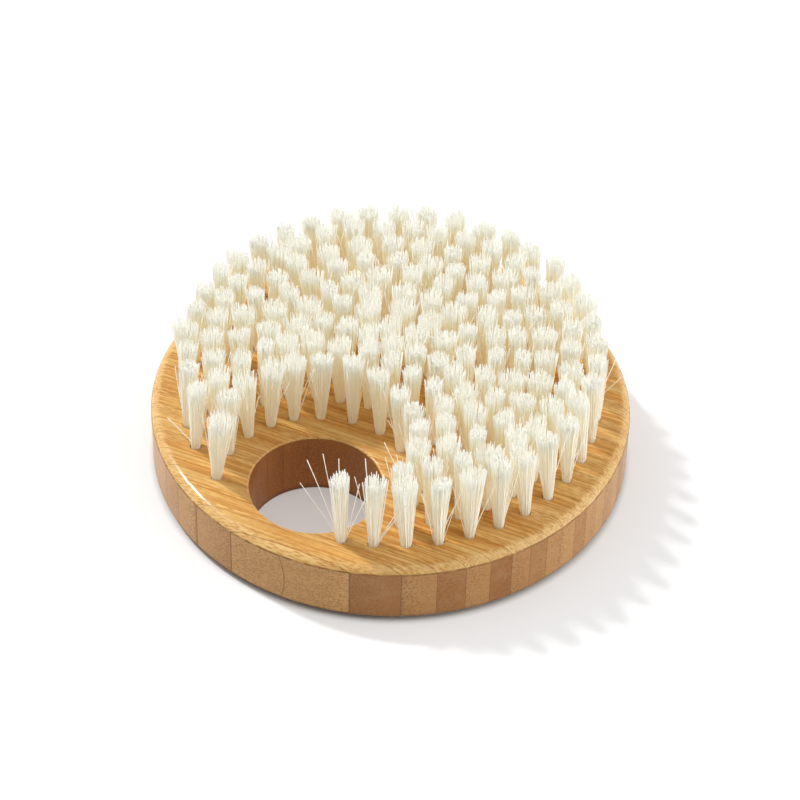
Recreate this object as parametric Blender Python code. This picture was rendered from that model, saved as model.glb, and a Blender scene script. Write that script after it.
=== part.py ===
"""Round body dry brush: a laminated bamboo block with a finger hole and tufts of white bristle.

Units are metres, +Z is up. The block lies on its back on the plane z = 0, the bristles point up, and
the origin is the middle of the block's underside. The finger hole lies towards -Y.
"""

from math import acos, cos, pi, radians, sin, tan

import bmesh
import bpy
from mathutils import Matrix, Vector

# Block
BLOCK_RADIUS = 0.060
BLOCK_THICKNESS = 0.0175
EDGE_ROUNDING = 0.0035
EDGE_CREASE = radians(28)
OUTLINE_SEGMENTS = 84
ROUNDING_STEPS = 2

# Bamboo strips, glued face to face across the block
STRIP_WIDTH = 0.00442
FIRST_GLUE_LINE = -0.0579
STRIP_COUNT = 28
GLUE_GAP = 0.0003
GRAIN_TURN = radians(5.5)

# Finger hole
HOLE_RADIUS = 0.01625
HOLE_OFFSET = 0.0364
HOLE_SEGMENTS = 40
HOLE_EDGE = 0.0006

# Tufts
SOCKET_RADIUS = 0.0019
SOCKET_DEPTH = 0.0100
TUFT_ROOT_RADIUS = 0.0016
TUFT_HEIGHT = 0.0198
TUFT_SIDES = 6
TUFT_HALF_THICKNESS = 0.0028
TUFT_OVERLAP = 1.06
FIT_GAP = 0.0003
HOLE_CLEARANCE = 0.0242
EXTRA_TUFT_TURN = radians(8.7)

# Each ring of tufts: its radius, and how many tufts stand on it
TUFT_RINGS = (
    (0.0514, 36),
    (0.0447, 32),
    (0.0379, 24),
    (0.0315, 21),
    (0.0254, 17),
    (0.0189, 13),
    (0.0128, 10),
    (0.0064, 6),
)

BAMBOO = (0.62, 0.36, 0.14, 1.0)
BRISTLE = (0.80, 0.74, 0.58, 1.0)


def clear_scene():
    for item in list(bpy.data.objects):
        bpy.data.objects.remove(item, do_unlink=True)


def make_material(name, colour, roughness):
    material = bpy.data.materials.new(name)
    material.use_nodes = True
    shader = material.node_tree.nodes["Principled BSDF"]
    shader.inputs["Base Color"].default_value = colour
    shader.inputs["Roughness"].default_value = roughness
    shader.inputs["Metallic"].default_value = 0.0
    material.diffuse_color = colour
    return material


def object_from_bmesh(name, shape, material=None):
    bmesh.ops.recalc_face_normals(shape, faces=shape.faces)
    mesh = bpy.data.meshes.new(name)
    shape.to_mesh(mesh)
    shape.free()
    made = bpy.data.objects.new(name, mesh)
    bpy.context.scene.collection.objects.link(made)
    if material:
        mesh.materials.append(material)
    return made


def make_helper(item):
    item.hide_render = True
    item.display_type = "WIRE"
    return item


def combine(item, other, operation):
    modifier = item.modifiers.new(operation.title(), "BOOLEAN")
    modifier.operation = operation
    modifier.solver = "EXACT"
    modifier.object = other
    return modifier


def apply_modifiers(item):
    """Replaces the object's mesh by the shape that its modifiers give."""
    bpy.context.view_layer.update()
    graph = bpy.context.evaluated_depsgraph_get()
    shaped = bpy.data.meshes.new_from_object(item.evaluated_get(graph))
    item.modifiers.clear()
    item.data = shaped
    return item


def loft(shape, rings):
    """Skins a list of rings of points, each with the same count, and closes both ends."""
    loops = [[shape.verts.new(point) for point in ring] for ring in rings]
    for lower, upper in zip(loops, loops[1:]):
        for i in range(len(lower)):
            j = (i + 1) % len(lower)
            shape.faces.new((lower[i], lower[j], upper[j], upper[i]))
    shape.faces.new(reversed(loops[0]))
    shape.faces.new(loops[-1])


def circle(radius, height, segments, centre=(0.0, 0.0)):
    return [
        (centre[0] + radius * cos(2 * pi * i / segments),
         centre[1] + radius * sin(2 * pi * i / segments), height)
        for i in range(segments)
    ]


def block_profile():
    """(radius, height) pairs up the block's side. Both rims are cut to the same round, which meets the
    upright side at a slight crease."""
    shoulder = []
    for step in range(ROUNDING_STEPS + 1):
        angle = EDGE_CREASE + (pi / 2 - EDGE_CREASE) * step / ROUNDING_STEPS
        shoulder.append((BLOCK_RADIUS - EDGE_ROUNDING * (cos(EDGE_CREASE) - cos(angle)),
                         BLOCK_THICKNESS - EDGE_ROUNDING * (1 - sin(angle))))
    foot = [(radius, BLOCK_THICKNESS - height) for radius, height in reversed(shoulder)]
    return foot + shoulder


def make_block():
    shape = bmesh.new()
    loft(shape, [circle(r, z, OUTLINE_SEGMENTS) for r, z in block_profile()])
    return object_from_bmesh("block_outline", shape)


def make_finger_hole_cutter():
    """A round cutter that widens a little at both faces, so that the hole's edges are eased."""
    past = BLOCK_THICKNESS / 4
    flare = HOLE_EDGE + past
    profile = [
        (HOLE_RADIUS + flare, -past),
        (HOLE_RADIUS, HOLE_EDGE),
        (HOLE_RADIUS, BLOCK_THICKNESS - HOLE_EDGE),
        (HOLE_RADIUS + flare, BLOCK_THICKNESS + past),
    ]
    shape = bmesh.new()
    loft(shape, [circle(r, z, HOLE_SEGMENTS, (0.0, -HOLE_OFFSET)) for r, z in profile])
    return object_from_bmesh("finger_hole_cutter", shape)


def clearance_angle(radius):
    """Where a ring of tufts meets the clear circle round the finger hole, as an angle from -Y."""
    reach = (radius ** 2 + HOLE_OFFSET ** 2 - HOLE_CLEARANCE ** 2) / (2 * radius * HOLE_OFFSET)
    return acos(reach) if abs(reach) < 1 else 0.0


def ring_angles(index):
    """The angles from -Y, towards +X, of the tufts on one ring."""
    radius, count = TUFT_RINGS[index]
    start = clearance_angle(radius)
    if start < pi / count:
        return [2 * pi * (i + 0.5) / count for i in range(count)]
    if index == 0:
        first = start - EXTRA_TUFT_TURN
        return [first + EXTRA_TUFT_TURN * i for i in range(count)]
    pitch = (2 * pi - 2 * start) / (count - 1)
    return [start + pitch * i for i in range(count)]


def flat_half_width(wide):
    """The half width to give a polygon whose flat sides are this far from its middle."""
    return wide / cos(pi / TUFT_SIDES)


def half_ring(radius, angles):
    """Tufts side by side on half a ring: (x, y, angle, half width before it, half width after it).

    Neighbours press into each other at their tips. The two outer sides stay clear of the other half.
    """
    half_pitch = (angles[1] - angles[0]) / 2
    pressed = flat_half_width(radius * tan(half_pitch) * TUFT_OVERLAP)
    free = flat_half_width((radius - TUFT_HALF_THICKNESS / 2) * tan(half_pitch) - FIT_GAP)
    last = len(angles) - 1
    return [
        (radius * sin(angle), -radius * cos(angle), angle,
         free if i == 0 else pressed, free if i == last else pressed)
        for i, angle in enumerate(angles)
    ]


def tuft_places():
    """{group name: [the place and widths of each tuft]} for the whole brush."""
    groups = {}
    for index, (radius, count) in enumerate(TUFT_RINGS):
        angles = ring_angles(index)
        groups[f"tuft_ring_{index + 1}_right"] = half_ring(radius, angles[:count // 2])
        groups[f"tuft_ring_{index + 1}_left"] = half_ring(radius, angles[count // 2:])
    radius = TUFT_RINGS[0][0]
    angle = -clearance_angle(radius)
    alone = (TUFT_HALF_THICKNESS, TUFT_HALF_THICKNESS)
    groups["tuft_at_hole"] = [(radius * sin(angle), -radius * cos(angle), angle, *alone)]
    groups["tuft_middle"] = [(0.0, 0.0, 0.0, *alone)]
    return groups


def oval(x, y, height, angle, before, after, half_thickness):
    """A ring of points round (x, y), turned by angle, with its own half width on each side."""
    turn = Matrix.Rotation(angle, 4, "Z")
    points = []
    for i in range(TUFT_SIDES):
        around = 2 * pi * (i + 0.5) / TUFT_SIDES
        wide = after if cos(around) > 0 else before
        point = turn @ Vector((wide * cos(around), half_thickness * sin(around), 0.0))
        points.append((x + point.x, y + point.y, height))
    return points


def add_tuft(shape, x, y, angle, before, after):
    """One tuft: straight in its socket, then flaring to an oval that is widest along its ring."""
    root = (TUFT_ROOT_RADIUS, TUFT_ROOT_RADIUS, TUFT_ROOT_RADIUS)
    foot = BLOCK_THICKNESS - SOCKET_DEPTH + FIT_GAP
    loft(shape, [
        oval(x, y, foot, angle, *root),
        oval(x, y, BLOCK_THICKNESS, angle, *root),
        oval(x, y, BLOCK_THICKNESS + TUFT_HEIGHT, angle, before, after, TUFT_HALF_THICKNESS),
    ])


def make_tuft_group(name, places, material):
    """Every second tuft goes into one mesh and the rest into another, and their union is one body."""
    shape = bmesh.new()
    for place in places[::2]:
        add_tuft(shape, *place)
    group = object_from_bmesh(name, shape, material)
    if len(places) > 1:
        shape = bmesh.new()
        for place in places[1::2]:
            add_tuft(shape, *place)
        others = make_helper(object_from_bmesh(name + "_others", shape))
        combine(group, others, "UNION")
        apply_modifiers(group)
        bpy.data.objects.remove(others, do_unlink=True)
    return group


def make_socket_cutter(places):
    """All the blind holes that the tufts are set in."""
    size = (SOCKET_RADIUS, SOCKET_RADIUS, SOCKET_RADIUS)
    shape = bmesh.new()
    for x, y, angle, _, _ in places:
        foot = oval(x, y, BLOCK_THICKNESS - SOCKET_DEPTH, angle, *size)
        mouth = oval(x, y, BLOCK_THICKNESS + SOCKET_DEPTH, angle, *size)
        loft(shape, [foot, mouth])
    return object_from_bmesh("socket_cutter", shape)


def strip_edges(number):
    """How far one strip reaches across the grain, from one glue line to the next."""
    low = FIRST_GLUE_LINE + STRIP_WIDTH * (number - 2)
    high = low + STRIP_WIDTH
    if number == 1:
        low = -BLOCK_RADIUS - GLUE_GAP
    if number == STRIP_COUNT:
        high = BLOCK_RADIUS + GLUE_GAP
    return low, high


def make_board(name, ends, edges, block, material):
    """A straight board along the grain, cut to the drilled round block."""
    turn = Matrix.Rotation(GRAIN_TURN, 4, "Z")
    low, high = edges[0] + GLUE_GAP / 2, edges[1] - GLUE_GAP / 2
    corners = ((ends[0], low), (ends[1], low), (ends[1], high), (ends[0], high))
    outline = [turn @ Vector((x, y, 0.0)) for x, y in corners]
    heights = (-GLUE_GAP, BLOCK_THICKNESS + GLUE_GAP)
    shape = bmesh.new()
    loft(shape, [[(point.x, point.y, height) for point in outline] for height in heights])
    board = object_from_bmesh(name, shape, material)
    combine(board, block, "INTERSECT")
    return apply_modifiers(board)


def make_strip(number, block, material):
    """One bamboo strip. The finger hole cuts some strips right through, and those are two pieces."""
    reach = BLOCK_RADIUS + GLUE_GAP
    edges = strip_edges(number)
    hole = Matrix.Rotation(-GRAIN_TURN, 4, "Z") @ Vector((0.0, -HOLE_OFFSET, 0.0))
    name = f"bamboo_strip_{number:02d}"
    if all(abs(edge - hole.y) < HOLE_RADIUS for edge in edges):
        make_board(name + "_left", (-reach, hole.x), edges, block, material)
        make_board(name + "_right", (hole.x, reach), edges, block, material)
    else:
        make_board(name, (-reach, reach), edges, block, material)


def build():
    clear_scene()
    bamboo = make_material("bamboo", BAMBOO, 0.35)
    bristle = make_material("bristle", BRISTLE, 0.6)
    groups = tuft_places()

    block = make_helper(make_block())
    finger_hole = make_helper(make_finger_hole_cutter())
    sockets = make_helper(make_socket_cutter([place for group in groups.values() for place in group]))
    combine(block, finger_hole, "DIFFERENCE")
    combine(block, sockets, "DIFFERENCE")
    apply_modifiers(block)

    for number in range(1, STRIP_COUNT + 1):
        make_strip(number, block, bamboo)
    for name, places in groups.items():
        make_tuft_group(name, places, bristle)


build()
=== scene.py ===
"""Looks of the round body dry brush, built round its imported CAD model.

Metres, +Z up, in the frame of the CAD: the block lies on its back on z = 0, the bristles point up
and the finger hole lies towards -Y. The bamboo strips are made again with a fine outline and
hairline glue lines, and each tuft is made again bristle by bristle, on the CAD's own rings.
"""

from math import acos, atan2, cos, hypot, pi, radians, sin

import bmesh
import bpy
import numpy as np
from mathutils import Matrix, Vector


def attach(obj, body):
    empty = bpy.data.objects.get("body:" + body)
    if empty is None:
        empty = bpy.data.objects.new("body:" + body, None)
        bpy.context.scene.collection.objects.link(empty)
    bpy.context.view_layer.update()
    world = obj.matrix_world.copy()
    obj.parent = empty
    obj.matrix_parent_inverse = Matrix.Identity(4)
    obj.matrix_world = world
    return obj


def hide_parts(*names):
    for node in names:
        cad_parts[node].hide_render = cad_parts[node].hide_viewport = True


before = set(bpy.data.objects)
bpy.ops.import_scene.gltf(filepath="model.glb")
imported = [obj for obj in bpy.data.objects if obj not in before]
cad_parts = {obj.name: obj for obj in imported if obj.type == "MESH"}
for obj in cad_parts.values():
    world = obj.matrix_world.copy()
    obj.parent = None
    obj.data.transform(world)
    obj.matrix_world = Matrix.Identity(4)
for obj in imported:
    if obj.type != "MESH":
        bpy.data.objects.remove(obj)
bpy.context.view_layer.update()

# Block
BLOCK_RADIUS = 0.060
BLOCK_THICKNESS = 0.0175
EDGE_ROUNDING = 0.0035
EDGE_CREASE = radians(28)
SHARP_FROM = radians(32)
OUTLINE_SEGMENTS = 256
ROUNDING_STEPS = 7

# Bamboo strips
STRIP_WIDTH = 0.00442
FIRST_GLUE_LINE = -0.0579
STRIP_COUNT = 28
GLUE_GAP = 0.00003
GRAIN_TURN = radians(5.5)

# How dark each strip is, from the -Y side, 0 to 1
STRIP_TONES = (
    0.00, 0.90, 0.45, 0.85, 0.40, 0.95, 0.50, 0.65, 0.35, 0.20, 0.60, 0.30, 0.15, 0.45,
    0.25, 0.70, 0.30, 0.55, 0.15, 0.80, 0.35, 0.60, 0.20, 0.75, 0.40, 0.55, 0.25, 0.65,
)

# The joint of the stem on the first strip: where it is along the grain, how far it bows, the height
# of its middle, and how far above and below that its ends are
STEM_JOINT_ALONG = -0.0019
STEM_JOINT_BOW = 0.0014
STEM_JOINT_MIDDLE = 0.0078
STEM_JOINT_REACH = 0.0075

# Finger hole
HOLE_RADIUS = 0.01625
HOLE_OFFSET = 0.0364
HOLE_CENTRE = (0.0, -HOLE_OFFSET, 0.0)
HOLE_SEGMENTS = 128
HOLE_EDGE = 0.0006
HOLE_EDGE_STEPS = 4

# Sockets and anchors
SOCKET_RADIUS = 0.00140
SOCKET_RIM_RADIUS = 0.00156
SOCKET_RIM_DEPTH = 0.00022
SOCKET_DEPTH = 0.0100
SOCKET_FLOOR_RISE = 0.0004
SOCKET_SEGMENTS = 20
ANCHOR_WIDTH = 0.0027
ANCHOR_HEIGHT = 0.0036
ANCHOR_THICKNESS = 0.00035
ANCHOR_LIFT = 0.0006

# Tufts
HOLE_CLEARANCE = 0.0242
EXTRA_TUFT_TURN = radians(8.7)
TUFT_RINGS = (
    (0.0514, 36),
    (0.0447, 32),
    (0.0379, 24),
    (0.0315, 21),
    (0.0254, 17),
    (0.0189, 13),
    (0.0128, 10),
    (0.0064, 6),
)

# Bristles
BRISTLES_PER_TUFT = 130
BRISTLE_RADIUS = 0.000125
BRISTLE_SIDES = 4
BRISTLE_STEPS = 5
BRISTLE_HEIGHT = 0.0194
HIGHEST_BRISTLE = 0.0198
ROOT_RADIUS = 0.00118
ROOT_DEPTH = 0.0092
BRISTLE_BOW = 0.00008
FLARE_POWER = 1.08
END_TAPER = 0.78

# Tips: the smallest and largest radius that a tuft flares to, how far single tips and whole tufts
# stray from their places, and how far the outer ring leans in
NARROWEST_TIP = 0.0023
WIDEST_TIP = 0.0034
TIP_SCATTER = 0.00016
TUFT_SCATTER = 0.00045
OUTER_RING_LEAN = 0.0009

# Uneven heights, and the share of bristles that were cut short
HEIGHT_SCATTER = 0.00024
TUFT_HEIGHT_SCATTER = 0.00015
SHORT_SHARE = 0.2
SHORT_BY = 0.0010

# A few bristles lean out of their tuft, and about one in each crosses to the next
WILD_SHARE = 0.04
WILD_SCATTER = 0.0013
CROSSING_PER_TUFT = 0.9
CROSSING_REACH = (0.0045, 0.0075)
CROSSING_DROP = 0.0015

# Single long bristles that lean out of a tuft: node, tuft's number in it, and where the tip is from
# the tuft's place on the wood
STRAYS = (
    ("tuft_ring_1_right", 0, (-0.0130, 0.0059, 0.0150)),
    ("tuft_ring_1_right", 0, (-0.0103, 0.0087, 0.0160)),
    ("tuft_ring_1_right", 0, (-0.0120, 0.0010, 0.0120)),
    ("tuft_ring_1_right", 0, (-0.0049, 0.0070, 0.0185)),
    ("tuft_ring_1_right", 0, (0.0062, 0.0010, 0.0165)),
    ("tuft_ring_1_right", 1, (-0.0077, 0.0040, 0.0150)),
    ("tuft_ring_1_right", 1, (-0.0066, 0.0070, 0.0190)),
    ("tuft_ring_1_right", 1, (0.0060, 0.0052, 0.0140)),
    ("tuft_ring_1_right", 1, (0.0075, 0.0020, 0.0150)),
    ("tuft_ring_1_right", 3, (-0.0100, 0.0054, 0.0165)),
    ("tuft_ring_1_right", 3, (-0.0085, 0.0020, 0.0170)),
    ("tuft_ring_1_right", 3, (0.0040, 0.0021, 0.0175)),
    ("tuft_ring_1_right", 4, (0.0045, 0.0065, 0.0175)),
    ("tuft_ring_1_right", 12, (0.0100, 0.0010, 0.0150)),
    ("tuft_ring_1_left", 17, (-0.0095, 0.0021, 0.0030)),
    ("tuft_ring_1_left", 14, (-0.0050, 0.0020, 0.0185)),
)

# Camera, round the point that it looks at
CAMERA_AZIMUTH = radians(28.8)
CAMERA_ELEVATION = radians(43.065)
CAMERA_ROLL = radians(1.576)
CAMERA_DISTANCE = 0.73101
CAMERA_TARGET = Vector((-0.00645, 0.01646, 0.0))
CAMERA_LENS = 126.85
SENSOR_WIDTH = 36.0

# Floor
FLOOR_RADIUS = 4.0
FLOOR_DROP = 0.00005
FLOOR_GLOW = 0.32
HOLE_FLOOR_GLOW = 0.85

# Colours of the bamboo, linear: on its flat faces, its rims and its sides, and of its thin lines
TOP_PALE = (0.77, 0.50, 0.18, 1)
TOP_DARK = (0.69, 0.395, 0.115, 1)
TOP_STREAK = (0.48, 0.185, 0.03, 1)
TOP_BLOOM = (0.76, 0.53, 0.22, 1)
TOP_BUNDLE = (0.40, 0.145, 0.02, 1)
RIM_PALE = (0.84, 0.58, 0.25, 1)
RIM_BUNDLE = (0.50, 0.21, 0.035, 1)
SIDE_PALE = (0.60, 0.325, 0.11, 1)
SIDE_DARK = (0.345, 0.138, 0.033, 1)
SIDE_STREAK = (0.21, 0.085, 0.028, 1)
SIDE_BLOOM = (0.54, 0.34, 0.165, 1)
SIDE_BUNDLE = (0.17, 0.065, 0.014, 1)
# Painted shade on the wall of the finger hole
HOLE_WALL_PAINTED_SHADE = (0.39, 0.13, 0.008, 1)
CREASE_LINE = (0.25, 0.10, 0.025, 1)
# Painted shade on the foot, near the floor
FOOT_PAINTED_SHADE = (0.16, 0.065, 0.018, 1)
GLUE_LINE = (0.20, 0.09, 0.03, 1)

# Colours of the rest, linear
FIBRE_DARK = (0.95, 0.92, 0.80, 1)
FIBRE_PALE = (0.96, 0.945, 0.87, 1)
FIBRE_CLUMP = (0.95, 0.915, 0.79, 1)
FIBRE_TIP = (0.91, 0.925, 0.885, 1)
# A faint painted glow of the fibres, for the light that comes through them
FIBRE_PAINTED_GLOW = (1.0, 0.78, 0.45, 1)
STEEL_DARK = (0.52, 0.52, 0.51, 1)
STEEL_PALE = (0.68, 0.68, 0.67, 1)
FLOOR_WHITE = (0.66, 0.665, 0.67, 1)
WHITE = (1, 1, 1, 1)

# Light. The world's patches: direction, angle to the full patch, angle to its edge, and how many
# times as bright the world is there
KEY_DIRECTION = (0.651, -0.080, -0.755)
KEY_ANGLE = radians(5.5)
KEY_STRENGTH = 2.2
WORLD_STRENGTH = 1.05
WORLD_PATCHES = (
    ((-0.35, 0.64, 0.68), radians(15), radians(60), 0.35),
    ((0.40, -0.85, 0.15), radians(25), radians(80), 0.06),
    ((0.98, 0.15, 0.25), radians(15), radians(60), 2.8),
)


# ---------------------------------------------------------------- meshes


def link(data, name):
    obj = bpy.data.objects.new(name, data)
    bpy.context.scene.collection.objects.link(obj)
    return obj


def object_from_bmesh(bm, name):
    bmesh.ops.recalc_face_normals(bm, faces=bm.faces)
    mesh = bpy.data.meshes.new(name)
    bm.to_mesh(mesh)
    bm.free()
    return link(mesh, name)


def turned(name, profile, segments, centre=(0.0, 0.0)):
    """A closed solid turned from (radius, height) points, which start and end on the axis."""
    x, y = centre
    bm = bmesh.new()
    rings = []
    for radius, height in profile:
        if radius == 0:
            rings.append([bm.verts.new((x, y, height))])
            continue
        ring = []
        for i in range(segments):
            a = 2 * pi * i / segments
            ring.append(bm.verts.new((x + radius * cos(a), y + radius * sin(a), height)))
        rings.append(ring)
    for low, high in zip(rings, rings[1:]):
        for i in range(segments):
            j = (i + 1) % segments
            # A ring that is one point on the axis gives triangles.
            corners = [low[i % len(low)], low[j % len(low)]]
            corners += [high[j % len(high)], high[i % len(high)]]
            bm.faces.new(list(dict.fromkeys(corners)))
    return object_from_bmesh(bm, name)


def block_profile():
    """(radius, height) points up the block's side. Both rims are cut to the same round, which meets
    the upright side at a slight crease."""
    shoulder = []
    for step in range(ROUNDING_STEPS + 1):
        a = EDGE_CREASE + (pi / 2 - EDGE_CREASE) * step / ROUNDING_STEPS
        radius = BLOCK_RADIUS - EDGE_ROUNDING * (cos(EDGE_CREASE) - cos(a))
        shoulder.append((radius, BLOCK_THICKNESS - EDGE_ROUNDING * (1 - sin(a))))
    foot = [(radius, BLOCK_THICKNESS - height) for radius, height in reversed(shoulder)]
    return foot + shoulder


def make_block():
    profile = [(0, 0.0), *block_profile(), (0, BLOCK_THICKNESS)]
    return turned("block", profile, OUTLINE_SEGMENTS)


def make_hole_cutter():
    """The finger hole's cutter. It flares out at both faces, so that the hole's edges are round."""
    over = 0.002
    wide = HOLE_RADIUS + HOLE_EDGE
    flare = []
    for i in range(HOLE_EDGE_STEPS + 1):
        a = pi / 2 * i / HOLE_EDGE_STEPS
        flare.append((HOLE_RADIUS + HOLE_EDGE * (1 - cos(a)), HOLE_EDGE * (1 - sin(a))))
    top = [(r, BLOCK_THICKNESS - h) for r, h in flare]
    bottom = [(r, h) for r, h in reversed(flare)]
    profile = [(0, -over), (wide, -over), *bottom, *top, (wide, BLOCK_THICKNESS + over)]
    profile.append((0, BLOCK_THICKNESS + over))
    return turned("finger_hole", profile, HOLE_SEGMENTS, HOLE_CENTRE[:2])


def make_socket_cutter(place):
    """A drilled socket: its floor rises a little to the wall, and its mouth is countersunk."""
    over = 0.0005
    just_above = BLOCK_THICKNESS + 0.00001
    low = BLOCK_THICKNESS - SOCKET_DEPTH
    profile = (
        (0, low),
        (SOCKET_RADIUS, low + SOCKET_FLOOR_RISE),
        (SOCKET_RADIUS, BLOCK_THICKNESS - SOCKET_RIM_DEPTH),
        (SOCKET_RIM_RADIUS, just_above),
        (SOCKET_RIM_RADIUS, BLOCK_THICKNESS + over),
        (0, BLOCK_THICKNESS + over),
    )
    return turned("socket", profile, SOCKET_SEGMENTS, place)


def join(objects, name):
    bm = bmesh.new()
    for obj in objects:
        bm.from_mesh(obj.data)
        mesh = obj.data
        bpy.data.objects.remove(obj)
        bpy.data.meshes.remove(mesh)
    return object_from_bmesh(bm, name)


def boolean(obj, other, operation):
    modifier = obj.modifiers.new(operation, "BOOLEAN")
    modifier.operation = operation
    modifier.object = other
    modifier.solver = "MANIFOLD"


def apply_modifiers(obj):
    graph = bpy.context.evaluated_depsgraph_get()
    mesh = bpy.data.meshes.new_from_object(obj.evaluated_get(graph))
    obj.modifiers.clear()
    obj.data = mesh


def remove(obj):
    bpy.data.objects.remove(obj)


# ---------------------------------------------------------------- layout, as in the CAD


def clearance_angle(radius):
    """How far round a ring, from -Y, the clear area about the finger hole reaches."""
    reach = (radius**2 + HOLE_OFFSET**2 - HOLE_CLEARANCE**2) / (2 * radius * HOLE_OFFSET)
    return acos(reach) if abs(reach) < 1 else 0.0


def ring_angles(index):
    """The angles of a ring's tufts, from -Y towards +X."""
    radius, count = TUFT_RINGS[index]
    start = clearance_angle(radius)
    if start < pi / count:
        return [2 * pi * (i + 0.5) / count for i in range(count)]
    if index == 0:
        first = start - EXTRA_TUFT_TURN
        return [first + EXTRA_TUFT_TURN * i for i in range(count)]
    pitch = (2 * pi - 2 * start) / (count - 1)
    return [start + pitch * i for i in range(count)]


def on_ring(radius, angle):
    return (radius * sin(angle), -radius * cos(angle))


def tuft_groups():
    """{CAD node: places of its tufts}."""
    groups = {}
    for index, (radius, count) in enumerate(TUFT_RINGS):
        places = [on_ring(radius, a) for a in ring_angles(index)]
        groups[f"tuft_ring_{index + 1}_right"] = places[: count // 2]
        groups[f"tuft_ring_{index + 1}_left"] = places[count // 2 :]
    radius = TUFT_RINGS[0][0]
    groups["tuft_at_hole"] = [on_ring(radius, -clearance_angle(radius))]
    groups["tuft_middle"] = [(0.0, 0.0)]
    return groups


# ---------------------------------------------------------------- bamboo


def make_board(index):
    """The space that one strip has in the block."""
    low = FIRST_GLUE_LINE + STRIP_WIDTH * (index - 1) + GLUE_GAP / 2
    high = low + STRIP_WIDTH - GLUE_GAP
    reach = 2 * BLOCK_RADIUS
    low = -reach if index == 0 else low
    high = reach if index == STRIP_COUNT - 1 else high
    bm = bmesh.new()
    bmesh.ops.create_cube(bm, size=1.0)
    bmesh.ops.scale(bm, vec=(reach, high - low, reach), verts=bm.verts)
    bmesh.ops.translate(bm, vec=(0, (low + high) / 2, 0), verts=bm.verts)
    turn = Matrix.Rotation(GRAIN_TURN, 3, "Z")
    bmesh.ops.rotate(bm, cent=(0, 0, 0), matrix=turn, verts=bm.verts)
    return object_from_bmesh(bm, "board")


def finish_strip(strip, node, material):
    """Smooth shading on the round faces only, and the CAD node that this strip stands for."""
    strip.name = node + "_fine"
    strip.data.materials.clear()
    strip.data.materials.append(material)
    strip.data.shade_smooth()
    strip.data.set_sharp_from_angle(angle=SHARP_FROM)
    weighted = strip.modifiers.new("flat faces stay flat", "WEIGHTED_NORMAL")
    weighted.keep_sharp = True
    weighted.weight = 90
    apply_modifiers(strip)
    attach(strip, "root")
    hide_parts(node)


def one_side(strip, side):
    """A copy of a strip that the finger hole cuts in two, with only its part on one side."""
    bm = bmesh.new()
    bm.from_mesh(strip.data)
    bmesh.ops.delete(bm, geom=[v for v in bm.verts if v.co.x * side < 0], context="VERTS")
    return object_from_bmesh(bm, "half strip")


def make_strips(block, material):
    for index in range(STRIP_COUNT):
        strip = make_board(index)
        boolean(strip, block, "INTERSECT")
        apply_modifiers(strip)
        node = f"bamboo_strip_{index + 1:02d}"
        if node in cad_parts:
            finish_strip(strip, node, material)
            continue
        for side, word in ((-1, "left"), (1, "right")):
            finish_strip(one_side(strip, side), f"{node}_{word}", material)
        remove(strip)


def make_carved_block(places):
    """The whole block with its finger hole and sockets, before it is parted into strips."""
    block = make_block()
    hole = make_hole_cutter()
    sockets = join([make_socket_cutter(place) for place in places], "sockets")
    boolean(block, hole, "DIFFERENCE")
    boolean(block, sockets, "DIFFERENCE")
    apply_modifiers(block)
    remove(hole)
    remove(sockets)
    return block


# ---------------------------------------------------------------- bristles


def ring_number(node):
    """1 for the outer ring up to 9 for the middle tuft."""
    words = node.split("_")
    return {"tuft_at_hole": 1, "tuft_middle": len(TUFT_RINGS) + 1}.get(node) or int(words[2])


def disc_points(count, rng):
    """Evenly spread points in the unit disc, as seeds lie in a sunflower, a little unsettled."""
    k = np.arange(count) + 0.5
    radius = np.sqrt(k / count)
    angle = k * pi * (3 - 5**0.5) + rng.uniform(0, 2 * pi)
    points = np.stack([radius * np.cos(angle), radius * np.sin(angle)], axis=1)
    return points + rng.normal(0, 0.045, points.shape)


def squeezed(points, rng):
    """The same points in a slightly oval tuft that parts into a few clumps, about 1 in radius."""
    turn = rng.uniform(0, pi)
    along = np.array([cos(turn), sin(turn)])
    across = np.array([-sin(turn), cos(turn)])
    oval = np.outer(points @ along, along) * rng.uniform(1.0, 1.2)
    oval += np.outer(points @ across, across) * rng.uniform(0.8, 1.0)
    centres = rng.normal(0, 0.6, (rng.integers(3, 6), 2))
    nearest = np.linalg.norm(oval[:, None] - centres[None], axis=2).argmin(axis=1)
    clumped = oval + (centres[nearest] - oval) * rng.uniform(0.0, 0.12)
    return clumped / np.sqrt(2 * (clumped**2).sum(axis=1).mean())


def tuft_paths(place, ring, rng):
    """(bristle, step, xyz) points of one tuft's bristles, from the socket's bottom to the tips."""
    count = BRISTLES_PER_TUFT
    disc = disc_points(count, rng)
    roots = disc * ROOT_RADIUS
    tips = squeezed(disc, rng) * rng.uniform(NARROWEST_TIP, WIDEST_TIP)
    tips += rng.normal(0, TIP_SCATTER, tips.shape) + rng.normal(0, TUFT_SCATTER, 2)
    if ring == 1:
        tips -= np.array(place) / hypot(*place) * OUTER_RING_LEAN
    wild = rng.random(count) < WILD_SHARE
    tips[wild] += rng.normal(0, WILD_SCATTER, (wild.sum(), 2))
    height = BRISTLE_HEIGHT + rng.normal(0, HEIGHT_SCATTER, count)
    height += rng.normal(0, TUFT_HEIGHT_SCATTER)
    short = rng.random(count) < SHORT_SHARE
    height[short] -= np.abs(rng.normal(0, SHORT_BY, short.sum()))
    crossing = rng.random(count) < CROSSING_PER_TUFT / count
    heading = rng.uniform(0, 2 * pi, count)
    reach = rng.uniform(*CROSSING_REACH, count)
    across = np.stack([reach * np.cos(heading), reach * np.sin(heading)], axis=1)
    tips[crossing] = across[crossing]
    height[crossing] -= CROSSING_DROP
    return bristle_paths(place, roots, tips, np.minimum(height, HIGHEST_BRISTLE), rng)


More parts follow.
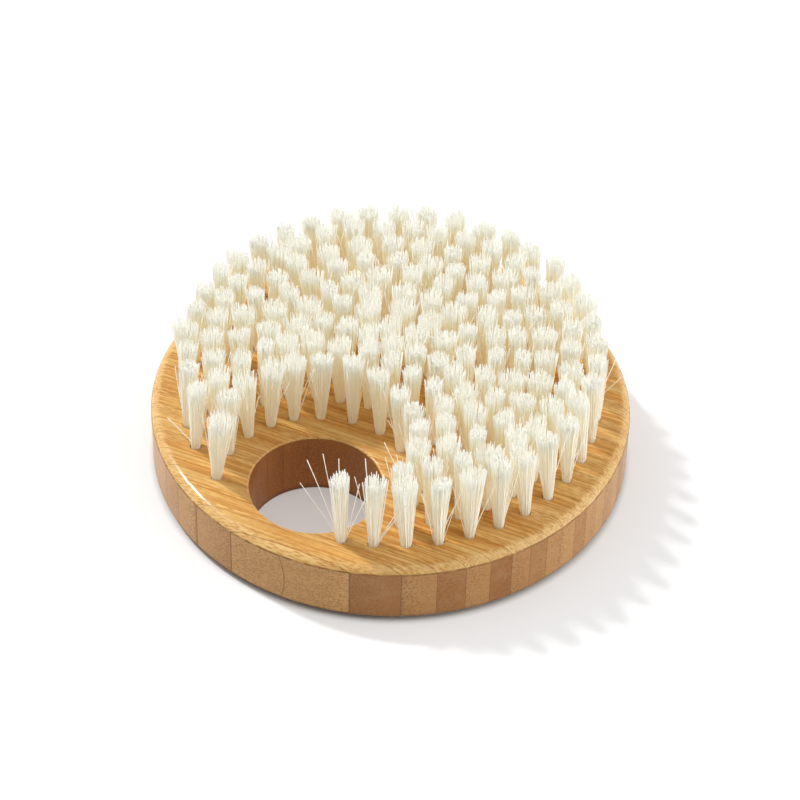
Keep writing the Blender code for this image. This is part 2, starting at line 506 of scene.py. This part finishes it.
def bristle_paths(place, roots, tips, height, rng):
    """Bristles that stand upright in the socket and flare out above the wood, each bowed a little."""
    count = len(roots)
    steps = np.linspace(0, 1, BRISTLE_STEPS + 1)
    flare = steps**FLARE_POWER
    bow = np.sin(pi * steps)[None, :, None] * rng.normal(0, BRISTLE_BOW, (count, 1, 2))
    across = roots[:, None] + (tips - roots)[:, None] * flare[None, :, None] + bow
    up = BLOCK_THICKNESS + height[:, None] * steps[None]
    above = np.concatenate([across, up[..., None]], axis=2)
    depth = np.full((count, 1), BLOCK_THICKNESS - ROOT_DEPTH)
    buried = np.concatenate([roots, depth], axis=1)
    paths = np.concatenate([buried[:, None], above], axis=1)
    return paths + np.array([place[0], place[1], 0.0])


def stray_paths(node, places, rng):
    """The paths of the strays that grow from this node's tufts, each in a stack of its own."""
    paths = []
    for name, number, (x, y, height) in STRAYS:
        if name == node:
            tip = np.array([[x, y]])
            root = tip / np.linalg.norm(tip) * ROOT_RADIUS * 0.9
            height = np.array([height])
            paths.append(bristle_paths(places[number], root, tip, height, rng))
    return paths


def tubes(paths, radius):
    """Points and faces of closed thin tubes along many paths of the same number of points."""
    count, steps, _ = paths.shape
    run = paths[:, -1] - paths[:, 1]
    run /= np.linalg.norm(run, axis=1)[:, None]
    side = np.cross(run, (0.0, 1.0, 0.0))
    side /= np.linalg.norm(side, axis=1)[:, None]
    other = np.cross(run, side)
    turns = 2 * pi * (np.arange(BRISTLE_SIDES)[None] / BRISTLE_SIDES) + np.arange(count)[:, None]
    turns = turns[..., None]
    ring = np.cos(turns) * side[:, None] + np.sin(turns) * other[:, None]
    points = paths[:, :, None] + ring[:, None] * radius[:, :, None, None]
    base = (np.arange(count) * steps * BRISTLE_SIDES)[:, None, None]
    low = base + (np.arange(steps - 1) * BRISTLE_SIDES)[None, :, None]
    here = low + np.arange(BRISTLE_SIDES)
    following = low + (np.arange(BRISTLE_SIDES) + 1) % BRISTLE_SIDES
    corners = [here, here + BRISTLE_SIDES, following + BRISTLE_SIDES, following]
    walls = np.stack(corners, axis=-1)
    bottoms = base[:, 0] + np.arange(BRISTLE_SIDES)
    tops = bottoms + (steps - 1) * BRISTLE_SIDES
    faces = [*walls.reshape(-1, 4).tolist(), *bottoms.tolist(), *tops[:, ::-1].tolist()]
    return points.reshape(-1, 3), faces


def tapered(paths, rng):
    """Each bristle's radius at each step. Some are thicker, and all get thinner towards the tip."""
    thick = BRISTLE_RADIUS * rng.uniform(0.8, 1.2, (paths.shape[0], 1))
    return thick * np.linspace(1.0, END_TAPER, paths.shape[1])[None]


def make_bristles(node, places, material):
    ring = ring_number(node)
    paths = []
    for number, place in enumerate(places):
        rng = np.random.default_rng([ring, len(node), number])
        paths.append(tuft_paths(place, ring, rng))
    paths = np.concatenate(paths + stray_paths(node, places, np.random.default_rng(ring)))
    points, faces = tubes(paths, tapered(paths, np.random.default_rng(ring)))
    mesh = bpy.data.meshes.new(node + "_bristles")
    mesh.from_pydata(points, [], faces)
    mesh.materials.append(material)
    mesh.shade_smooth()
    bristles = link(mesh, node + "_bristles")
    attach(bristles, "root")
    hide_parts(node)


def make_anchors(places, material):
    """The flat metal anchor at the bottom of each socket, which the bristles are folded round."""
    bm = bmesh.new()
    size = (ANCHOR_WIDTH, ANCHOR_THICKNESS, ANCHOR_HEIGHT)
    middle = BLOCK_THICKNESS - SOCKET_DEPTH + ANCHOR_LIFT + ANCHOR_HEIGHT / 2
    for x, y in places:
        made = bmesh.ops.create_cube(bm, size=1.0)["verts"]
        outwards = Matrix.Rotation(atan2(y, x), 3, "Z")
        bmesh.ops.scale(bm, vec=size, verts=made)
        bmesh.ops.rotate(bm, cent=(0, 0, 0), matrix=outwards, verts=made)
        bmesh.ops.translate(bm, vec=(x, y, middle), verts=made)
    anchors = object_from_bmesh(bm, "tuft_anchors")
    anchors.data.materials.append(material)
    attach(anchors, "root")


# ---------------------------------------------------------------- materials


class Nodes:
    """Short calls for building the nodes of a new material or world."""

    def __init__(self, owner):
        owner.use_nodes = True
        self.owner = owner
        self.tree = owner.node_tree

    def add(self, kind, inputs=(), output=0, **settings):
        node = self.tree.nodes.new("ShaderNode" + kind)
        for key, value in settings.items():
            setattr(node, key, value)
        for socket, value in dict(inputs).items():
            self.put(node.inputs[socket], value)
        return node.outputs[output]

    def put(self, socket, value):
        if isinstance(value, bpy.types.NodeSocket):
            self.tree.links.new(value, socket)
        else:
            socket.default_value = value

    def maths(self, operation, *values):
        return self.add("Math", dict(enumerate(values)), operation=operation)

    def times(self, first, second):
        return self.maths("MULTIPLY", first, second)

    def opposite(self, value):
        return self.maths("SUBTRACT", 1.0, value)

    def span(self, value, low, high, to_low=0.0, to_high=1.0):
        inputs = {
            "Value": value,
            "From Min": low,
            "From Max": high,
            "To Min": to_low,
            "To Max": to_high,
        }
        return self.add("MapRange", inputs, interpolation_type="SMOOTHSTEP")

    def mix(self, factor, first, second):
        return self.add("Mix", {0: factor, 6: first, 7: second}, 2, data_type="RGBA")

    def object_place(self):
        return self.add("TexCoord", output=3)

    def split(self, vector):
        """The three numbers of a vector."""
        return list(self.add("SeparateXYZ", {0: vector}).node.outputs)

    def combine(self, x, y, z):
        return self.add("CombineXYZ", {0: x, 1: y, 2: z})

    def reach(self, place, centre):
        """How far a place is from the upright line through centre."""
        moved = self.add("VectorMath", {0: place, 1: centre}, operation="SUBTRACT")
        level = self.add("VectorMath", {0: moved, 1: (1.0, 1.0, 0.0)}, operation="MULTIPLY")
        return self.add("VectorMath", {0: level}, 1, operation="LENGTH")

    def noise(self, vector, scale, detail, roughness):
        inputs = {"Vector": vector, "Scale": scale, "Detail": detail, "Roughness": roughness}
        return self.add("TexNoise", inputs)

    def stepped(self, value, levels):
        """levels[i] where value, 0 to 1, is in the i-th of as many equal parts."""
        output = self.add("ValToRGB", {0: value})
        ramp = output.node.color_ramp
        ramp.interpolation = "CONSTANT"
        while len(ramp.elements) < len(levels):
            ramp.elements.new(0.5)
        for i, (element, level) in enumerate(zip(ramp.elements, levels)):
            element.position = i / len(levels)
            element.color = (level, level, level, 1.0)
        return output

    def finished(self, **sockets):
        """The material, with these sockets of its Principled shader set or linked."""
        shader = self.tree.nodes["Principled BSDF"]
        for name, value in sockets.items():
            self.put(shader.inputs[name.replace("_", " ")], value)
        return self.owner


def new_material(name):
    return Nodes(bpy.data.materials.new(name))


def bamboo_material():
    n = new_material("lacquered bamboo")
    place = n.object_place()
    level = n.add("VectorRotate", {"Vector": place, "Angle": -GRAIN_TURN}, rotation_type="Z_AXIS")
    along, across, up = n.split(level)
    hole_reach = n.reach(place, HOLE_CENTRE)
    in_hole = n.span(hole_reach, HOLE_RADIUS + 0.0004, HOLE_RADIUS + 0.0012, 1.0, 0.0)

    # Where each face points: flat is 0 on the upright sides, 1 on the flat faces, between on rims.
    facing_x, _, facing_z = n.split(n.add("NewGeometry", output=1))
    flat = n.maths("ABSOLUTE", facing_z)
    planed = n.span(flat, 0.25, 0.45)
    rim = n.times(planed, n.span(flat, 0.88, 0.99, 1.0, 0.0))

    # Which strip this is, how far across it, and its own tone and random draws
    strips_across = n.maths("SUBTRACT", across, FIRST_GLUE_LINE - STRIP_WIDTH)
    strips_across = n.maths("DIVIDE", strips_across, STRIP_WIDTH)
    strip = n.maths("FLOOR", strips_across)
    part_way = n.maths("FRACT", strips_across)
    tone = n.stepped(n.maths("DIVIDE", n.maths("ADD", strip, 0.5), STRIP_COUNT), STRIP_TONES)
    chance = n.add("TexWhiteNoise", {"W": strip}, 1, noise_dimensions="1D")
    coarse, flip, _ = n.add("SeparateColor", {0: chance}).node.outputs

    # Along the grain everything is drawn out, and each strip has its own stretch of the stem.
    own = n.maths("MULTIPLY_ADD", strip, 0.013, up)
    streaks = n.noise(n.combine(n.times(along, 0.02), across, own), 1700.0, 4.0, 0.62)
    broad = n.noise(n.combine(n.times(along, 0.055), across, own), 300.0, 2.0, 0.5)
    stain = n.noise(level, 60.0, 3.0, 0.55)

    # Fibre bundles: dots where the grain ends at a face, and lines where it runs along it. They
    # are stronger towards the outside of the stem, which is one edge of each strip.
    drawn_out = n.times(along, n.span(planed, 0.0, 1.0, 0.6, 0.2))
    cells = {
        "Vector": n.combine(drawn_out, across, own),
        "Scale": n.span(coarse, 0.0, 1.0, 2500.0, 1800.0),
        "Randomness": 0.9,
    }
    bundles = n.span(n.add("TexVoronoi", cells), 0.22, 0.6, 1.0, 0.0)
    inner_edge = n.maths("GREATER_THAN", flip, 0.5)
    outside = n.maths("ABSOLUTE", n.maths("SUBTRACT", part_way, inner_edge))
    bundles = n.times(bundles, n.span(outside, 0.0, 1.0, 0.45, 1.0))

    # The flat faces are planed and lacquered golden.
    golden = n.mix(tone, TOP_PALE, TOP_DARK)
    streaked = n.mix(0.85, golden, TOP_STREAK)
    top = n.mix(n.span(streaks, 0.38, 0.62), streaked, golden)
    top = n.mix(n.span(broad, 0.42, 0.75, 0.0, 0.5), top, TOP_BLOOM)
    top = n.mix(n.times(rim, 0.5), top, RIM_PALE)

    # The sides keep the duller tan of cut bamboo, and the strips are painted paler and differ less
    # where they face -X, towards the key light: painted light.
    # Inside the finger hole the wood is painted darker, as painted shade in the hole.
    side_tone_and_painted_light = n.times(tone, n.span(facing_x, -0.3, 0.2, 0.3, 1.0))
    side = n.mix(side_tone_and_painted_light, SIDE_PALE, SIDE_DARK)
    side = n.mix(n.span(streaks, 0.3, 0.7, 0.22, 0.0), side, SIDE_STREAK)
    side = n.mix(n.span(broad, 0.4, 0.8, 0.0, 0.22), side, SIDE_BLOOM)
    side = n.mix(n.times(in_hole, 0.8), side, HOLE_WALL_PAINTED_SHADE)

    colour = n.mix(planed, side, top)
    dark = n.mix(rim, n.mix(planed, SIDE_BUNDLE, TOP_BUNDLE), RIM_BUNDLE)
    colour = n.mix(n.times(bundles, n.maths("MULTIPLY_ADD", rim, 0.25, 0.5)), colour, dark)
    colour = n.mix(n.span(stain, 0.45, 0.75, 0.0, 0.28), colour, n.mix(0.5, colour, dark))

    # A joint of the stem crosses the side of the first strip as a thin bowed line.
    above_middle = n.maths("SUBTRACT", up, STEM_JOINT_MIDDLE)
    bowed = n.maths("POWER", n.maths("DIVIDE", above_middle, STEM_JOINT_REACH), 2.0)
    line = n.maths("MULTIPLY_ADD", n.opposite(bowed), STEM_JOINT_BOW, STEM_JOINT_ALONG)
    away = n.maths("ABSOLUTE", n.maths("SUBTRACT", along, line))
    elsewhere = n.maths("MAXIMUM", planed, n.maths("GREATER_THAN", strip, 0.5))
    crack = n.times(n.span(away, 0.00004, 0.00022, 0.75, 0.0), n.opposite(elsewhere))
    colour = n.mix(crack, colour, dark)

    # Thin patchy darker lines run along the creases where the rims meet the side.
    drop = EDGE_ROUNDING * (1 - sin(EDGE_CREASE))
    from_middle = n.maths("ABSOLUTE", n.maths("SUBTRACT", up, BLOCK_THICKNESS / 2))
    off_crease = n.maths("SUBTRACT", from_middle, BLOCK_THICKNESS / 2 - drop)
    off_crease = n.maths("ABSOLUTE", off_crease)
    patchy = n.span(n.noise(level, 420.0, 2.0, 0.6), 0.3, 0.62, 0.4, 0.95)
    crease = n.times(n.span(off_crease, 0.00008, 0.00036, 1.0, 0.0), patchy)
    colour = n.mix(n.times(crease, n.opposite(in_hole)), colour, CREASE_LINE)
    # The foot below the lower crease is painted shade, where the floor shades it.
    foot_shade_ramp = n.span(up, 0.0006, drop + 0.0003, 0.75, 0.0)
    foot = n.times(foot_shade_ramp, n.span(flat, 0.9, 0.98, 1.0, 0.0))
    colour = n.mix(foot, colour, FOOT_PAINTED_SHADE)

    # The glue shows as a hairline.
    edge = n.maths("MINIMUM", part_way, n.opposite(part_way))
    colour = n.mix(n.span(edge, 0.006, 0.02, 0.55, 0.0), colour, GLUE_LINE)

    height = n.maths("SUBTRACT", n.times(streaks, 0.4), n.times(bundles, 0.5))
    rough_streaks = n.span(streaks, 0.3, 0.7, 0.0, 0.08)
    rough = n.maths("ADD", rough_streaks, n.span(planed, 0.0, 1.0, 0.45, 0.42))
    return n.finished(
        Base_Color=colour,
        Roughness=rough,
        Normal=n.add("Bump", {"Height": height, "Strength": 0.3, "Distance": 0.00012}),
        Specular_IOR_Level=0.1,
        Coat_Weight=0.36,
        Coat_Roughness=0.17,
    )


def bristle_material():
    """Off-white fibre, painted warmer low in the tuft for the warm light deep in it, with a faint
    warm painted glow all over for the light that comes through the fibres.
    """
    n = new_material("white plant fibre")
    place = n.object_place()
    drawn_out = n.add("VectorMath", {0: place, 1: (1.0, 1.0, 0.06)}, operation="MULTIPLY")
    single = n.noise(drawn_out, 3200.0, 1.0, 0.5)
    clump = n.noise(place, 150.0, 2.0, 0.5)
    low = n.mix(n.span(single, 0.3, 0.7), FIBRE_DARK, FIBRE_PALE)
    low = n.mix(n.span(clump, 0.35, 0.75, 0.0, 0.4), low, FIBRE_CLUMP)
    # Towards the tips the colour goes to the plain tip colour; lower down it is painted warmer, for
    # the warm light deep in the tuft.
    up = n.split(place)[2]
    top = BLOCK_THICKNESS + BRISTLE_HEIGHT
    return n.finished(
        Base_Color=n.mix(n.span(up, top - 0.009, top, 0.0, 0.8), low, FIBRE_TIP),
        Roughness=0.5,
        Specular_IOR_Level=0.3,
        # A faint warm painted glow, for the light that comes through the fibres.
        Emission_Color=FIBRE_PAINTED_GLOW,
        Emission_Strength=0.07,
    )


def anchor_material():
    n = new_material("galvanised steel wire")
    dull = n.noise(n.object_place(), 1500.0, 3.0, 0.6)
    return n.finished(
        Base_Color=n.mix(n.span(dull, 0.3, 0.7), STEEL_DARK, STEEL_PALE),
        Roughness=n.span(dull, 0.3, 0.7, 0.28, 0.45),
        Metallic=1.0,
    )


def floor_material():
    """White acrylic with a painted glow, as if light came up through it, that lifts its shadows; the
    glow is gone where the block stands, fades in past its edge as painted contact shade, and is
    turned down inside the finger hole as painted shade.
    """
    n = new_material("white floor")
    place = n.object_place()
    block_reach = n.reach(place, (0.0, 0.0, 0.0))
    outside = n.span(block_reach, BLOCK_RADIUS - 0.001, BLOCK_RADIUS + 0.0015)
    hole_reach = n.reach(place, HOLE_CENTRE)
    in_hole = n.span(hole_reach, HOLE_RADIUS, HOLE_RADIUS + 0.001, HOLE_FLOOR_GLOW, 0.0)
    return n.finished(
        Base_Color=FLOOR_WHITE,
        Roughness=0.9,
        Specular_IOR_Level=0.1,
        Emission_Color=WHITE,
        Emission_Strength=n.times(n.maths("MAXIMUM", outside, in_hole), FLOOR_GLOW),
    )


# ---------------------------------------------------------------- studio


def make_floor():
    bm = bmesh.new()
    bmesh.ops.create_circle(bm, cap_ends=True, segments=64, radius=FLOOR_RADIUS)
    bmesh.ops.translate(bm, vec=(0, 0, -FLOOR_DROP), verts=bm.verts)
    floor = object_from_bmesh(bm, "floor")
    floor.data.materials.append(floor_material())


def make_world():
    """An even pale studio with a bright side wall, darker behind the camera and opposite it."""
    n = Nodes(bpy.data.worlds.new("studio"))
    towards = n.add("TexCoord")
    strength = WORLD_STRENGTH
    for direction, narrow, wide, factor in WORLD_PATCHES:
        inputs = {0: towards, 1: Vector(direction).normalized()}
        nearness = n.add("VectorMath", inputs, 1, operation="DOT_PRODUCT")
        strength = n.times(strength, n.span(nearness, cos(wide), cos(narrow), 1.0, factor))
    background = n.tree.nodes["Background"]
    n.put(background.inputs["Color"], WHITE)
    n.put(background.inputs["Strength"], strength)
    bpy.context.scene.world = n.owner


def make_key_light():
    light = bpy.data.lights.new("key", "SUN")
    light.energy = KEY_STRENGTH
    light.angle = KEY_ANGLE
    key = link(light, "key")
    key.rotation_euler = Vector(KEY_DIRECTION).to_track_quat("-Z", "Y").to_euler()


def make_camera():
    """The camera looks from -Y, turned towards +X by the azimuth and rolled a little."""
    a, e, roll = CAMERA_AZIMUTH, CAMERA_ELEVATION, CAMERA_ROLL
    back = Vector((sin(a) * cos(e), -cos(a) * cos(e), sin(e)))
    level = Vector((cos(a), sin(a), 0.0))
    upright = back.cross(level)
    right = cos(roll) * level + sin(roll) * upright
    up = cos(roll) * upright - sin(roll) * level
    data = bpy.data.cameras.new("camera")
    data.lens = CAMERA_LENS
    data.sensor_width = SENSOR_WIDTH
    data.clip_start = 0.01
    data.clip_end = 20.0
    camera = link(data, "camera")
    place = Matrix.Translation(CAMERA_TARGET + back * CAMERA_DISTANCE)
    camera.matrix_world = place @ Matrix((right, up, back)).transposed().to_4x4()
    bpy.context.scene.camera = camera


def main():
    make_camera()
    make_floor()
    make_world()
    make_key_light()
    scene = bpy.context.scene
    scene.view_settings.view_transform = "Standard"
    # Light reaches the bottom of the tufts by many bounces.
    scene.cycles.max_bounces = 24
    scene.cycles.diffuse_bounces = 20
    groups = tuft_groups()
    places = [place for group in groups.values() for place in group]
    block = make_carved_block(places)
    make_strips(block, bamboo_material())
    remove(block)
    fibre = bristle_material()
    for node, group in groups.items():
        make_bristles(node, group, fibre)
    make_anchors(places, anchor_material())


main()
